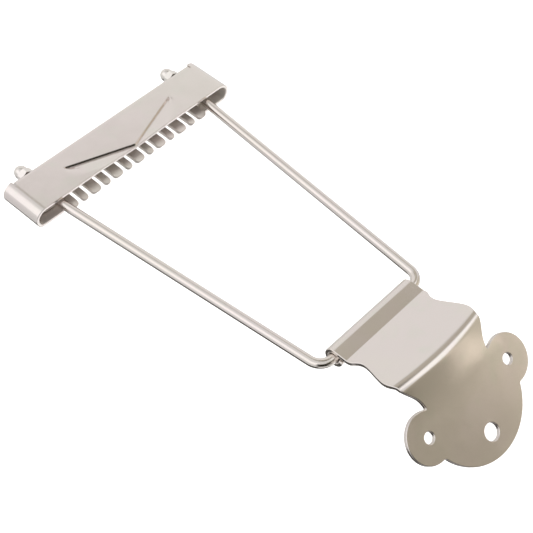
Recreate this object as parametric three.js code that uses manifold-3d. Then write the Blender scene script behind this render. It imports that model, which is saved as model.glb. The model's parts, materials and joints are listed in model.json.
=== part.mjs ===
// Trapeze tailpiece for a guitar: a stamped tail bracket, one bent wire that is both hinge pin and
// rods, and a string bar of two sheets held on the wire's threaded ends by two domed nuts.
// All lengths are in millimetres and all angles in degrees. +X runs across the strings, +Y from the
// tail to the bar along the rods, and +Z up out of the plane of the rods. The origin lies on the tail
// plate's inner face, where the tailpiece is screwed to the guitar.

import * as THREE from 'three';
import { mergeVertices } from 'three/addons/utils/BufferGeometryUtils.js';
import { ConvexGeometry } from 'three/addons/geometries/ConvexGeometry.js';
import Module from 'manifold-3d';

const wasm = await Module();
wasm.setup();

// Clearances and the overrun of every cutting body
const seatGap = 0.3;
const overrun = 4;

// How far the bracket's plate is folded below the plane of the rods
const foldAngle = 17.6;

// Wire
const wireDiameter = 3.5;
const wireBendRadius = 5.5;
const rodSpacingAtHinge = 51.5;
const rodSpacingAtBar = 73.8;
const rodStraightening = 3;
const threadReach = 4.2;

// Tail bracket
const bracketSheet = 1.6;
const knuckleEndGap = 0.55;
const knuckleWrap = 279.7;
const landAngle = 19.7;
const plateHeight = 1.76;
const creaseRadius = 0.8;
const plateLength = 21.3;
const shoulderLength = 1.6;
const waistWidth = 37;
const waistShare = 0.3;
const swellWidth = 43;
const swellShare = 0.78;
const bendWidth = 41;
const bendRadius = 2.8;
const bendAngle = 56.8;
const bowDepth = 2;
const bowReach = 10;
const bowDrop = 12;
const bowWidth = 46;

// Outline of the tail plate, measured down its face from the bend's corner
const neckWidth = 32.2;
const earSpacing = 41.7;
const earDrop = 19.5;
const earRadius = 8.9;
const lobeDrop = 20;
const lobeRadius = 21.8;
const neckTopShare = 0.36;
const neckFootShare = 0.46;
const screwHole = 3.9;
const endPinHole = 6;
const endPinMargin = 8.4;
const seatDrop = 19.5;

// String bar
const barDistance = 113.5;
const barDepth = 18.4;
const barOverhang = 11.6;
const coverSheet = 1.2;
const coverHeadroom = 0.67;
const coverFrontRadius = 2;
const skirtEndGap = 0.5;
const skirtBelowHole = 1.3;
const lipInset = 1.1;
const lipSetback = 0.4;

// Raised chevron on the cover
const chevronHeight = 1.3;
const chevronWidth = 51.6;
const chevronTipDepth = 9.4;
const chevronOvershoot = 0.9;
const chevronStepRun = 0.5;
const chevronEndRun = 3.5;
const chevronFootWidth = 66;

// String comb
const combSheet = 1.8;
const combToothReach = 2.3;
const combCurlRadius = 5;
const combCurlLength = 2.7;
const combSlotDepth = 7.6;
const combShoulder = 4;
const combEndGap = 2;
const combFlangeRadius = 2.4;
const coursePitch = 10.88;
const courseCount = 6;
const narrowTooth = 2.8;
const slotWidth = 1.9;
const endTooth = 4;
const toothTipRadius = 1.4;

// Domed nuts
const nutAcrossFlats = 5.5;
const nutHexLength = 2.6;
const nutLength = 6.4;
const nutDomeRadius = 2.6;

// Facets: slices across the bracket, steps in a bend, and steps in half of each drawn arc
const bracketSlices = 28;
const rollFacets = 24;
const bendFacets = 6;
const outlineFacets = 14;
const coverFacets = 8;
const toothFacets = 3;
const wireFacets = 10;
const nutFacets = 24;

const metal = (color, roughness) => new THREE.MeshStandardMaterial({ color, roughness, metalness: 1 });
const platedBracket = metal(0xcfc8c4, 0.22);
const platedWire = metal(0xc9c4bf, 0.18);
const platedCover = metal(0xd6cbc4, 0.2);
const platedComb = metal(0xa9a29a, 0.3);
const platedNut = metal(0xd2cdc6, 0.16);

const radians = THREE.MathUtils.degToRad;
const wireRadius = wireDiameter / 2;

// The rods' slope, and where the wire's straight middle ends, which the knuckle holds
const rodTurnIn = barDistance + rodStraightening;
const rodSlope = Math.atan2((rodSpacingAtBar - rodSpacingAtHinge) / 2, rodTurnIn);
const cornerTurn = Math.PI / 2 - rodSlope;
const bendStart = rodSpacingAtHinge / 2 - wireBendRadius * Math.tan(cornerTurn / 2);

// Solid from a closed geometry, and a named mesh from a solid
function solid(geometry) {
  const bare = geometry.index ? geometry.toNonIndexed() : geometry.clone();
  bare.deleteAttribute('normal');
  bare.deleteAttribute('uv');
  const welded = mergeVertices(bare);
  const vertProperties = new Float32Array(welded.attributes.position.array);
  const triVerts = new Uint32Array(welded.index.array);
  return new wasm.Manifold(new wasm.Mesh({ numProp: 3, vertProperties, triVerts }));
}

function namedMesh(name, body, material) {
  const data = body.getMesh();
  const geometry = new THREE.BufferGeometry();
  geometry.setAttribute('position', new THREE.BufferAttribute(new Float32Array(data.vertProperties), 3));
  geometry.setIndex(new THREE.BufferAttribute(new Uint32Array(data.triVerts), 1));
  geometry.computeVertexNormals();
  const mesh = new THREE.Mesh(geometry, material);
  mesh.name = name;
  return mesh;
}

// Shape swept from bottom to top along Z
function prism(shape, bottom, top, facets) {
  const options = { depth: top - bottom, bevelEnabled: false, curveSegments: facets };
  return new THREE.ExtrudeGeometry(shape, options).translate(0, 0, bottom);
}

// Shape drawn in (y, z) and swept along X over a width that is centred on zero
function sweptAcross(shape, width, slices) {
  const options = { depth: width, steps: slices, bevelEnabled: false };
  const toPlace = new THREE.Matrix4().makeBasis(
    new THREE.Vector3(0, 1, 0), new THREE.Vector3(0, 0, 1), new THREE.Vector3(1, 0, 0));
  return new THREE.ExtrudeGeometry(shape, options).translate(0, 0, -width / 2).applyMatrix4(toPlace);
}

// Cylinder along Y from one place to another
function rodAlongY(x, z, from, to, radius) {
  return new THREE.CylinderGeometry(radius, radius, to - from, 2 * wireFacets)
    .translate(x, (from + to) / 2, z);
}

// Path of a bent sheet, walked along its middle. Outside is the right-hand side of the walk.
class SheetPath {
  constructor(y, z, heading) {
    this.y = y;
    this.z = z;
    this.heading = heading;
    this.stations = [{ y, z, heading }];
  }

  straight(length, pieces = 1) {
    for (let i = 0; i < pieces; i++) {
      this.y += length / pieces * Math.cos(this.heading);
      this.z += length / pieces * Math.sin(this.heading);
      this.stations.push({ y: this.y, z: this.z, heading: this.heading });
    }
    return this;
  }

  // A positive angle turns left, toward the inside of the sheet
  turn(angle, radius, pieces) {
    const side = Math.sign(angle);
    const centreY = this.y - side * radius * Math.sin(this.heading);
    const centreZ = this.z + side * radius * Math.cos(this.heading);
    const start = this.heading;
    for (let i = 1; i <= pieces; i++) {
      this.heading = start + radians(angle) * i / pieces;
      this.y = centreY + side * radius * Math.sin(this.heading);
      this.z = centreZ - side * radius * Math.cos(this.heading);
      this.stations.push({ y: this.y, z: this.z, heading: this.heading });
    }
    return this;
  }

  // Closed outline of the sheet: its outside forward, then its inside back
  outline(thickness) {
    const offset = (s, distance) => new THREE.Vector2(
      s.y + distance * Math.sin(s.heading), s.z - distance * Math.cos(s.heading));
    const outside = this.stations.map((s) => offset(s, thickness / 2));
    const inside = this.stations.map((s) => offset(s, -thickness / 2));
    return new THREE.Shape([...outside, ...inside.reverse()]);
  }
}

const setback = (radius, angle) => radius * Math.tan(radians(angle) / 2);

// Tail bracket. Its frame has the hinge axis on X and its plate level, with the tail toward -Y.
const knuckleLength = 2 * (bendStart - knuckleEndGap);
const rollMiddle = wireRadius + seatGap + bracketSheet / 2;
const rollOutside = rollMiddle + bracketSheet / 2;
const landDrop = rollOutside * Math.cos(radians(landAngle)) - plateHeight;
const landLength = landDrop / Math.sin(radians(landAngle));
const landEnd = -rollOutside * Math.sin(radians(landAngle)) - landDrop / Math.tan(radians(landAngle));
const bendCorner = landEnd - plateLength;
const tailLength = lobeDrop + lobeRadius + overrun;
const tailWidth = earSpacing + 2 * earRadius;
const endPinDrop = lobeDrop + lobeRadius - endPinMargin;

function bracketSection() {
  const rollStart = radians(90 + landAngle - knuckleWrap);
  const path = new SheetPath(
    rollMiddle * Math.cos(rollStart), rollMiddle * Math.sin(rollStart), rollStart + radians(90));
  const bendSetback = setback(bendRadius, bendAngle);
  const creaseSetback = setback(creaseRadius, landAngle);
  const tailBow = (bowDrop + bracketSheet) / Math.sin(radians(bendAngle)) - bendSetback;
  path.turn(knuckleWrap, rollMiddle, rollFacets);
  path.straight(landLength - creaseSetback);
  path.turn(-landAngle, creaseRadius + bracketSheet / 2, bendFacets / 2);
  path.straight(plateLength - creaseSetback - bendSetback - bowReach);
  path.straight(bowReach, bendFacets);
  path.turn(bendAngle, bendRadius - bracketSheet / 2, bendFacets);
  path.straight(tailBow, bendFacets);
  path.straight(tailLength - bendSetback - tailBow);
  return path.outline(bracketSheet);
}

// The bend is pushed out in its middle, and the push fades away over the plate and the tail
function bowed(geometry) {
  const position = geometry.attributes.position;
  const ease = (share) => THREE.MathUtils.smoothstep(share, 0, 1);
  for (let i = 0; i < position.count; i++) {
    const x = position.getX(i);
    const y = position.getY(i);
    const z = position.getZ(i);
    const plateShare = ease((landEnd - plateLength + bowReach - y) / bowReach);
    const tailShare = ease((z - plateHeight + bowDrop + bracketSheet) / bowDrop);
    const widthShare = Math.max(0, 1 - (2 * x / bowWidth) ** 2);
    position.setY(i, y - bowDepth * widthShare * plateShare * tailShare);
  }
  return geometry;
}

// Outline of knuckle, waist and swell, seen from above
function plateOutline() {
  const right = [
    new THREE.Vector2(knuckleLength / 2, landEnd - shoulderLength),
    new THREE.Vector2(waistWidth / 2, landEnd - waistShare * plateLength),
    new THREE.Vector2(swellWidth / 2, landEnd - swellShare * plateLength),
    new THREE.Vector2(bendWidth / 2, bendCorner),
  ];
  const left = right.map((p) => new THREE.Vector2(-p.x, p.y));
  const shape = new THREE.Shape();
  shape.moveTo(-knuckleLength / 2, rollOutside + overrun);
  shape.lineTo(-knuckleLength / 2, landEnd - shoulderLength);
  shape.splineThru(left.slice(1));
  shape.lineTo(bendWidth / 2, bendCorner);
  shape.splineThru(right.reverse().slice(1));
  shape.lineTo(knuckleLength / 2, rollOutside + overrun);
  return shape;
}

// Where two circles meet, on the side below the line of their centres
function lowerCrossing(centreA, radiusA, centreB, radiusB) {
  const between = centreB.clone().sub(centreA);
  const distance = between.length();
  const along = (distance ** 2 + radiusA ** 2 - radiusB ** 2) / (2 * distance);
  const aside = Math.sqrt(radiusA ** 2 - along ** 2);
  const direction = between.normalize();
  const across = new THREE.Vector2(direction.y, -direction.x);
  return centreA.clone().addScaledVector(direction, along).addScaledVector(across, aside);
}

// Outline of neck, ears and lobe on the tail plate, with its three holes
function tailOutline() {
  const ear = new THREE.Vector2(earSpacing / 2, -earDrop);
  const lobe = new THREE.Vector2(0, -lobeDrop);
  const crossing = lowerCrossing(lobe, lobeRadius, ear, earRadius);
  const notchX = neckWidth / 2;
  const notchY = -earDrop + Math.sqrt(earRadius ** 2 - (ear.x - notchX) ** 2);
  const notchAngle = Math.atan2(notchY - ear.y, notchX - ear.x);
  const earEnd = Math.atan2(crossing.y - ear.y, crossing.x - ear.x);
  const lobeStart = Math.atan2(crossing.y - lobe.y, crossing.x);
  const halfBend = bendWidth / 2;
  const neckTop = neckTopShare * notchY;
  const neckFoot = neckFootShare * notchY;
  const shape = new THREE.Shape();
  shape.moveTo(-halfBend, bendRadius);
  shape.lineTo(-halfBend, 0);
  shape.bezierCurveTo(-halfBend, neckTop, -notchX, neckFoot, -notchX, notchY);
  shape.absarc(-ear.x, ear.y, earRadius, Math.PI - notchAngle, Math.PI - earEnd, false);
  shape.absarc(lobe.x, lobe.y, lobeRadius, Math.PI - lobeStart, 2 * Math.PI + lobeStart, false);
  shape.absarc(ear.x, ear.y, earRadius, earEnd, notchAngle, false);
  shape.bezierCurveTo(notchX, neckFoot, halfBend, neckTop, halfBend, 0);
  shape.lineTo(halfBend, bendRadius);
  const holes = [[-ear.x, -earDrop, screwHole], [ear.x, -earDrop, screwHole], [0, -endPinDrop, endPinHole]];
  for (const [x, y, diameter] of holes) {
    shape.holes.push(new THREE.Path().absarc(x, y, diameter / 2, 0, 2 * Math.PI, true));
  }
  return shape;
}

// Frame of the tail plate: X across, Y up its face, Z out of its outer face, zero at the bend's corner
const tailFrame = new THREE.Matrix4()
  .makeRotationX(radians(bendAngle - 90))
  .multiply(new THREE.Matrix4().makeRotationX(radians(90)));
tailFrame.setPosition(0, bendCorner, plateHeight);

function tailBracket() {
  const sheet = solid(bowed(sweptAcross(bracketSection(), tailWidth + overrun, bracketSlices)));
  const plateReach = rollOutside + overrun;
  const plateCut = solid(prism(plateOutline(), -plateReach, plateReach, outlineFacets));
  const tailReach = bowDepth + overrun;
  const tailPrism = prism(tailOutline(), -tailReach, tailReach, outlineFacets);
  const tailCut = solid(tailPrism.applyMatrix4(tailFrame));
  return sheet.intersect(plateCut.add(tailCut));
}

// Wire, as stations along its centre line: rod, bend, hinge, bend, rod
class WirePath extends THREE.Curve {
  constructor(stations) {
    super();
    this.stations = stations;
  }

  getPoint(t, target = new THREE.Vector3()) {
    const place = t * (this.stations.length - 1);
    const index = Math.min(Math.floor(place), this.stations.length - 2);
    return target.lerpVectors(this.stations[index], this.stations[index + 1], place - index);
  }

  getUtoTmapping(u) {
    return u;
  }
}

const barFront = barDistance + barDepth;

function trapezeWire() {
  const half = [];
  for (let i = 0; i <= wireFacets; i++) {
    const turned = cornerTurn * i / wireFacets;
    half.push(new THREE.Vector3(
      bendStart + wireBendRadius * Math.sin(turned), wireBendRadius * (1 - Math.cos(turned)), 0));
  }
  half.push(new THREE.Vector3(rodSpacingAtBar / 2, rodTurnIn, 0));
  half.push(new THREE.Vector3(rodSpacingAtBar / 2, barFront + threadReach, 0));
  const mirrored = half.map((p) => new THREE.Vector3(-p.x, p.y, 0)).reverse();
  const path = new WirePath([...mirrored, ...half]);
  const section = new THREE.Shape().absarc(0, 0, wireRadius, 0, 2 * Math.PI, false);
  const options = { steps: path.stations.length - 1, extrudePath: path, curveSegments: wireFacets };
  return solid(new THREE.ExtrudeGeometry(section, options));
}

// String bar. Heights are measured from the plane of the rods.
const combTop = -wireRadius - seatGap;
const lipTop = combTop - combSheet - seatGap;
const coverUnder = wireRadius + coverHeadroom;
const coverTop = coverUnder + coverSheet;
const coverInnerRadius = (coverUnder - lipTop) / 2;
const coverOuterRadius = coverInnerRadius + coverSheet;
const coverFlat = rodSpacingAtBar / 2 + barOverhang - coverOuterRadius;
const skirtWidth = 2 * (coverFlat - skirtEndGap);
const lipEnd = rodSpacingAtBar / 2 - lipInset;
const coverMiddle = (coverUnder + lipTop) / 2;
const rodHole = wireDiameter + 2 * seatGap;

// The cover's sheet seen from the tail: flat top, half-round ends and short lips below
function coverSection() {
  const shape = new THREE.Shape();
  const quarter = Math.PI / 2;
  shape.moveTo(-lipEnd, lipTop - coverSheet);
  shape.lineTo(-lipEnd, lipTop);
  shape.absarc(-coverFlat, coverMiddle, coverInnerRadius, -quarter, quarter, true);
  shape.absarc(coverFlat, coverMiddle, coverInnerRadius, quarter, -quarter, true);
  shape.lineTo(lipEnd, lipTop);
  shape.lineTo(lipEnd, lipTop - coverSheet);
  shape.absarc(coverFlat, coverMiddle, coverOuterRadius, -quarter, quarter, false);
  shape.absarc(-coverFlat, coverMiddle, coverOuterRadius, quarter, 3 * quarter, false);
  return shape;
}

// Body from a shape drawn in (x, z) and swept along Y
function sweptAlong(shape, from, to) {
  const upright = new THREE.Matrix4().makeRotationX(Math.PI / 2);
  return prism(shape, -to, -from, coverFacets).applyMatrix4(upright);
}

function box(width, from, to, bottom, top) {
  return new THREE.BoxGeometry(width, to - from, top - bottom)
    .translate(0, (from + to) / 2, (bottom + top) / 2);
}

// The cover's front: the top turns down over a rounded corner into a skirt
const skirtBottom = -rodHole / 2 - skirtBelowHole;

function coverFront() {
  const path = new SheetPath(barFront - coverSheet / 2, skirtBottom, Math.PI / 2);
  path.straight(coverTop - coverFrontRadius - skirtBottom);
  path.turn(90, coverFrontRadius - coverSheet / 2, bendFacets);
  path.straight(barDepth / 2 - coverFrontRadius);
  return solid(sweptAcross(path.outline(coverSheet), skirtWidth, 1));
}

// Raised chevron: steep along its two arms, fading to the front. An inset gives the hollow below it.
function chevron(inset, bottom, level) {
  const vertex = barDistance - chevronOvershoot + inset;
  const tip = barDistance + chevronTipDepth + inset;
  const foot = barFront - coverFrontRadius - inset;
  const tipX = chevronWidth / 2 - inset;
  const footX = chevronFootWidth / 2 - inset;
  const armRise = (tip - vertex) / tipX;
  const points = [];
  for (const z of [bottom, level]) {
    points.push(new THREE.Vector3(0, vertex, z));
    for (const side of [-1, 1]) {
      points.push(new THREE.Vector3(side * tipX, tip, z));
      points.push(new THREE.Vector3(side * footX, foot, z));
    }
  }
  points.push(new THREE.Vector3(0, vertex + chevronStepRun, level + chevronHeight));
  for (const side of [-1, 1]) {
    const crestX = side * (tipX - chevronEndRun);
    const crestY = tip - armRise * chevronEndRun + chevronStepRun;
    points.push(new THREE.Vector3(crestX, crestY, level + chevronHeight));
  }
  return solid(new ConvexGeometry(points));
}

function barCover() {
  const sheet = solid(sweptAlong(coverSection(), barDistance, barFront));
  const frontStart = barFront - barDepth / 2;
  const topCut = box(skirtWidth, frontStart, barFront + overrun, coverMiddle, coverTop + overrun);
  const lipCut = box(2 * coverFlat + overrun, barDistance - overrun, barDistance + lipSetback,
    lipTop - coverSheet - overrun, lipTop + seatGap);
  const behind = box(chevronWidth, barDistance - overrun, barDistance, coverMiddle, coverTop + overrun);
  const raised = chevron(0, coverTop - coverSheet / 2, coverTop).subtract(solid(behind));
  let cover = sheet.subtract(solid(topCut)).add(coverFront()).subtract(solid(lipCut));
  cover = cover.add(raised).subtract(chevron(coverSheet, coverUnder - coverSheet, coverUnder));
  for (const side of [-1, 1]) {
    const x = side * rodSpacingAtBar / 2;
    cover = cover.subtract(solid(rodAlongY(x, 0, frontStart, barFront + overrun, rodHole / 2)));
  }
  return cover;
}

// String comb: tooth tips curl down, the plate lies under the rods, and the front flange stands up,
// notched round the rods
const combFront = barFront - coverSheet - seatGap;
const toothTips = barDistance - combToothReach;
const slotRoot = toothTips + combSlotDepth;
const combRearWidth = (courseCount - 1) * coursePitch + narrowTooth + 2 * (slotWidth + endTooth);
const combFrontWidth = 2 * (coverFlat - combEndGap);

function combSection() {
  const curl = THREE.MathUtils.radToDeg(combCurlLength / combCurlRadius);
  const flangeMiddle = combFlangeRadius - combSheet / 2;
  const plateEnd = combFront - combFlangeRadius;
  const flangeTop = coverTop - coverFrontRadius - seatGap;
  const path = new SheetPath(combFront - combSheet / 2, flangeTop, -Math.PI / 2);
  path.straight(flangeTop - combTop + combSheet - combFlangeRadius);
  path.turn(-90, flangeMiddle, bendFacets);
  path.straight(plateEnd - toothTips - combCurlLength);
  path.turn(curl, combCurlRadius - combSheet / 2, bendFacets);
  path.straight(overrun);
  return path.outline(combSheet);
}

// Teeth from left to right as pairs of edges: wide and narrow ones in turn, with a slot between
function toothEdges() {
  const edges = [];
  let left = -combRearWidth / 2;
  for (let course = 0; course < courseCount; course++) {
    const centre = (course - (courseCount - 1) / 2) * coursePitch;
    edges.push([left, centre - narrowTooth / 2 - slotWidth]);
    edges.push([centre - narrowTooth / 2, centre + narrowTooth / 2]);
    left = centre + narrowTooth / 2 + slotWidth;
  }
  edges.push([left, combRearWidth / 2]);
  return edges;
}

function combOutline() {
  const shape = new THREE.Shape();
  const shoulder = barDistance + combShoulder;
  const half = Math.PI / 2;
  const edges = toothEdges();
  shape.moveTo(-combFrontWidth / 2, shoulder);
  shape.lineTo(-combRearWidth / 2, shoulder);
  edges.forEach(([left, right], i) => {
    const radius = Math.min(toothTipRadius, (right - left) / 2);
    shape.absarc(left + radius, toothTips + radius, radius, 2 * half, 3 * half, false);
    shape.absarc(right - radius, toothTips + radius, radius, 3 * half, 4 * half, false);
    if (i < edges.length - 1) {
      shape.absarc(right + slotWidth / 2, slotRoot, slotWidth / 2, 2 * half, 0, true);
    }
  });
  shape.lineTo(combRearWidth / 2, shoulder);
  shape.lineTo(combFrontWidth / 2, shoulder);
  shape.lineTo(combFrontWidth / 2, barFront);
  shape.lineTo(-combFrontWidth / 2, barFront);
  return shape;
}

function stringComb() {
  const section = solid(sweptAcross(combSection(), combFrontWidth + overrun, 1));
  const outline = solid(prism(combOutline(), lipTop - overrun, coverTop, toothFacets));
  let comb = section.intersect(outline);
  const flangeFrom = combFront - combFlangeRadius;
  for (const side of [-1, 1]) {
    const x = side * rodSpacingAtBar / 2;
    const notch = box(rodHole, flangeFrom, barFront, 0, coverTop).translate(x, 0, 0);
    comb = comb.subtract(solid(rodAlongY(x, 0, flangeFrom, barFront, rodHole / 2)));
    comb = comb.subtract(solid(notch));
  }
  return comb;
}

// Domed nut on the front of the bar, with a blind bore for the thread. Its axis is Y.
function domedNut() {
  const hexRadius = nutAcrossFlats / 2 / Math.cos(Math.PI / 6);
  const hex = new THREE.CylinderGeometry(hexRadius, hexRadius, nutHexLength, 6)
    .translate(0, nutHexLength / 2, 0);
  const straight = nutLength - nutDomeRadius;
  const profile = [new THREE.Vector2(0, 0), new THREE.Vector2(nutDomeRadius, 0)];
  for (let i = 0; i <= bendFacets; i++) {
    const rise = Math.PI / 2 * i / bendFacets;
    profile.push(new THREE.Vector2(
      nutDomeRadius * Math.cos(rise), straight + nutDomeRadius * Math.sin(rise)));
  }
  profile[profile.length - 1].x = 0;
  const dome = new THREE.LatheGeometry(profile, nutFacets);
  const bore = rodAlongY(0, 0, -overrun, threadReach, rodHole / 2);
  return solid(hex).add(solid(dome)).subtract(solid(bore));
}

// Assembly. The bracket hangs from the hinge axis at its fold, and the trapeze lies level.
const bracketGroup = new THREE.Group();
bracketGroup.rotation.x = -radians(foldAngle);
bracketGroup.add(namedMesh('tail_bracket', tailBracket(), platedBracket));

const trapezeGroup = new THREE.Group();
trapezeGroup.add(namedMesh('trapeze_wire', trapezeWire(), platedWire));
trapezeGroup.add(namedMesh('bar_cover', barCover(), platedCover));
trapezeGroup.add(namedMesh('string_comb', stringComb(), platedComb));
for (const [name, side] of [['rod_nut_left', -1], ['rod_nut_right', 1]]) {
  const nut = namedMesh(name, domedNut(), platedNut);
  nut.position.set(side * rodSpacingAtBar / 2, barFront + seatGap, 0);
  trapezeGroup.add(nut);
}

// The whole is moved so that the seat point on the tail plate's inner face is the origin
const seat = new THREE.Vector3(0, -seatDrop, -bracketSheet).applyMatrix4(tailFrame);
seat.applyAxisAngle(new THREE.Vector3(1, 0, 0), -radians(foldAngle));

const tailpiece = new THREE.Group();
tailpiece.name = 'trapeze_tailpiece';
tailpiece.add(bracketGroup, trapezeGroup);
tailpiece.position.copy(seat).negate();

export default tailpiece;
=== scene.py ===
# %% [markdown]
# # A trapeze tailpiece, from bent sheet and bent wire
#
# A trapeze tailpiece holds a guitar's strings at the tail. A stamped bracket is screwed to the end of
# the body, a bent wire hinges in its rolled edge, and the wire's two ends carry a bar with a comb for
# the strings. The measured solids already fix every size and place. What they can't show is how the
# light runs over pressed and plated metal, so this lesson builds each piece again with true bends and
# rounded edges, in the same place, and then plates and lights it.

# %% Load the measured solids
import json
from math import radians

import bpy
import numpy as np
from mathutils import Matrix, Vector
from mathutils.geometry import delaunay_2d_cdt


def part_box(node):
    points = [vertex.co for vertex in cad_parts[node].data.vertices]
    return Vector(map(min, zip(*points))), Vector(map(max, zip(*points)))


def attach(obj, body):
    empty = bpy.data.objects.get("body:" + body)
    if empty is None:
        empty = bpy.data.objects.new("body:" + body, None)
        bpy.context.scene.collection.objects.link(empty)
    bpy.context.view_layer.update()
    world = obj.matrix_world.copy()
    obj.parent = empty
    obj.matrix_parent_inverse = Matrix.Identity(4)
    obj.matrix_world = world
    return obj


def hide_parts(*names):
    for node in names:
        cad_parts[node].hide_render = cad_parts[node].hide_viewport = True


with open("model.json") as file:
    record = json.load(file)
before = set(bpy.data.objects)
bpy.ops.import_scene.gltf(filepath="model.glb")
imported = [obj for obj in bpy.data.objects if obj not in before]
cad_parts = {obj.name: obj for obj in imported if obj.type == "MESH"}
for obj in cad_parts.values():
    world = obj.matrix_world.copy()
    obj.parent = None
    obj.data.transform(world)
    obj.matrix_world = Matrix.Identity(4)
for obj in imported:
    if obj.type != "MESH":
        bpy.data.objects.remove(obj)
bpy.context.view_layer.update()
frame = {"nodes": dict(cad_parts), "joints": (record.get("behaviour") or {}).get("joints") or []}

hinge_mm = 1000 * np.array(frame["joints"][0]["pos_m"])
print("nodes", sorted(frame["nodes"]))
print("the hinge's axis passes through", hinge_mm.round(3), "mm")

# %% [markdown]
# ## One way to make every pressed piece
#
# The bracket, the cover and the comb all start as a flat blank, cut from sheet, that is then bent in a
# press. Modelling them the same way keeps the thickness the same everywhere and gives the bends their
# true radius. Joining boxes and bevelling the edges would be quicker, but the bends would be guesses.
#
# First comes the bending. Seen from its edge, a bent sheet is a walk of straight runs and arcs along
# the middle of the sheet. `BentPath` remembers the runs, and answers for any length walked where that
# point is and which way the sheet heads there.

# %% A bent sheet, seen from its edge
class BentPath:
    """Straight runs and arcs in a plane of (y, z), in millimetres, walked from one end."""

    def __init__(self, y, z, heading):
        self.runs = []
        self.length = 0.0
        self.here = (y, z, radians(heading))

    def straight(self, length):
        return self._walk(length, 0.0)

    def arc(self, turn, radius):
        angle = radians(turn)
        return self._walk(abs(angle) * radius, np.sign(angle) / radius)

    def _walk(self, length, bend):
        self.runs.append((self.length, *self.here, bend))
        self.length += length
        y, z, heading = self.at(np.array([self.length]))
        self.here = (float(y[0]), float(z[0]), float(heading[0]))
        return self

    def at(self, walked):
        y, z, heading = (np.zeros_like(walked) for _ in range(3))
        for index, (start, y0, z0, a0, bend) in enumerate(self.runs):
            on = walked >= start if index else np.full(walked.shape, True)
            beyond = walked - start
            angle = a0 + bend * beyond
            if bend:
                run_y = y0 + (np.sin(angle) - np.sin(a0)) / bend
                run_z = z0 - (np.cos(angle) - np.cos(a0)) / bend
            else:
                run_y = y0 + np.cos(a0) * beyond
                run_z = z0 + np.sin(a0) * beyond
            y, z, heading = (np.where(on, new, old) for new, old in
                             ((run_y, y), (run_z, z), (angle, heading)))
        return y, z, heading

    def point(self, walked, height):
        """Height is measured to the right of the walk, from the middle of the sheet."""
        y, z, heading = self.at(walked)
        return y + height * np.sin(heading), z - height * np.cos(heading)


quarter_turn = BentPath(0, 0, 0).straight(10).arc(90, 4)
print("a 10 mm run and a quarter turn of 4 mm radius end at", np.round(quarter_turn.here, 3))

# %% [markdown]
# ## Outlines of the blanks
#
# A blank is one closed outline and some holes. They are drawn with few points: straight runs, arcs,
# and smooth curves where the edge swings.

# %% Arcs and smooth curves
def arc_points(centre, radius, start, end, count=24):
    """Points on an arc, with its angles in degrees."""
    angle = np.radians(np.linspace(start, end, count))
    return np.column_stack([centre[0] + radius * np.cos(angle), centre[1] + radius * np.sin(angle)])


def round_hole(centre, radius):
    return arc_points(centre, radius, 0, 360, 41)[:-1]


def bezier_points(a, b, c, d, count=16):
    t = np.linspace(0, 1, count)[:, None]
    a, b, c, d = (np.array(p, float) for p in (a, b, c, d))
    return a * (1 - t) ** 3 + 3 * b * t * (1 - t) ** 2 + 3 * c * t ** 2 * (1 - t) + d * t ** 3


def through_points(points, count=10):
    """A smooth curve through all the points, as a draughtsman's spline would run."""
    points = np.array(points, float)
    ends = np.vstack([points[:1], points, points[-1:]])
    t = np.linspace(0, 1, count, endpoint=False)[:, None]
    out = []
    for a, b, c, d in zip(ends, ends[1:], ends[2:], ends[3:]):
        slope_b, slope_c = (c - a) / 2, (d - b) / 2
        out.append((2 * t ** 3 - 3 * t ** 2 + 1) * b + (t ** 3 - 2 * t ** 2 + t) * slope_b
                   + (3 * t ** 2 - 2 * t ** 3) * c + (t ** 3 - t ** 2) * slope_c)
    return np.vstack(out + [points[-1:]])


print("a hole of 2 mm radius is cut with", len(round_hole((0, 0), 2)), "points")

# %% [markdown]
# An outline is then walked at an even step, so that a straight edge can follow a bend later. A punch has
# no perfectly sharp inner corners, so each corner is first softened by a little curve.

# %% Walk an outline and soften its corners
def loop_lengths(loop):
    return np.linalg.norm(np.roll(loop, -1, axis=0) - loop, axis=1)


def clean_loop(loop):
    """Drops points that lie on the next one."""
    return loop[loop_lengths(loop) > 1e-4]


def walk_loop(loop, step):
    """The same loop with a point about every step, and with every given point kept."""
    out = []
    for a, b in zip(loop, np.roll(loop, -1, axis=0)):
        pieces = max(1, int(np.ceil(np.linalg.norm(b - a) / step)))
        out.append(a + (b - a) * np.arange(pieces)[:, None] / pieces)
    return np.vstack(out)


def corner_turns(loop):
    """How many degrees the loop turns at each point."""
    before = loop - np.roll(loop, 1, axis=0)
    after = np.roll(loop, -1, axis=0) - loop
    return np.degrees(np.abs(np.angle(
        (after[:, 0] + 1j * after[:, 1]) / (before[:, 0] + 1j * before[:, 1]))))


def soften_corners(loop, reach, sharpest=25):
    """Replaces every corner that turns by more than `sharpest` degrees by a curve."""
    loop = clean_loop(loop)
    fine = walk_loop(loop, reach / 6)
    keep = np.full(len(fine), True)
    corners = {}
    for corner in loop[corner_turns(loop) > sharpest]:
        at = int(np.argmin(np.linalg.norm(fine - corner, axis=1)))
        span = [at]
        for side in (-1, 1):
            walked, i = 0.0, at
            while walked < reach:
                following = (i + side) % len(fine)
                walked += np.linalg.norm(fine[following] - fine[i])
                i = following
                span.append(i)
            corners.setdefault(at, []).append(fine[i])
        keep[span] = False
    out = []
    for i, point in enumerate(fine):
        if keep[i]:
            out.append(point)
        if i in corners:
            first, last = corners[i]
            t = np.linspace(0, 1, 9)[:, None]
            out.extend(first * (1 - t) ** 2 + 2 * point * t * (1 - t) + last * t ** 2)
    return clean_loop(np.array(out))


square = np.array([[0, 0], [10, 0], [10, 10], [0, 10]], float)
print("a square of 10 mm has", len(soften_corners(square, 2)), "points once its corners are softened")

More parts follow.
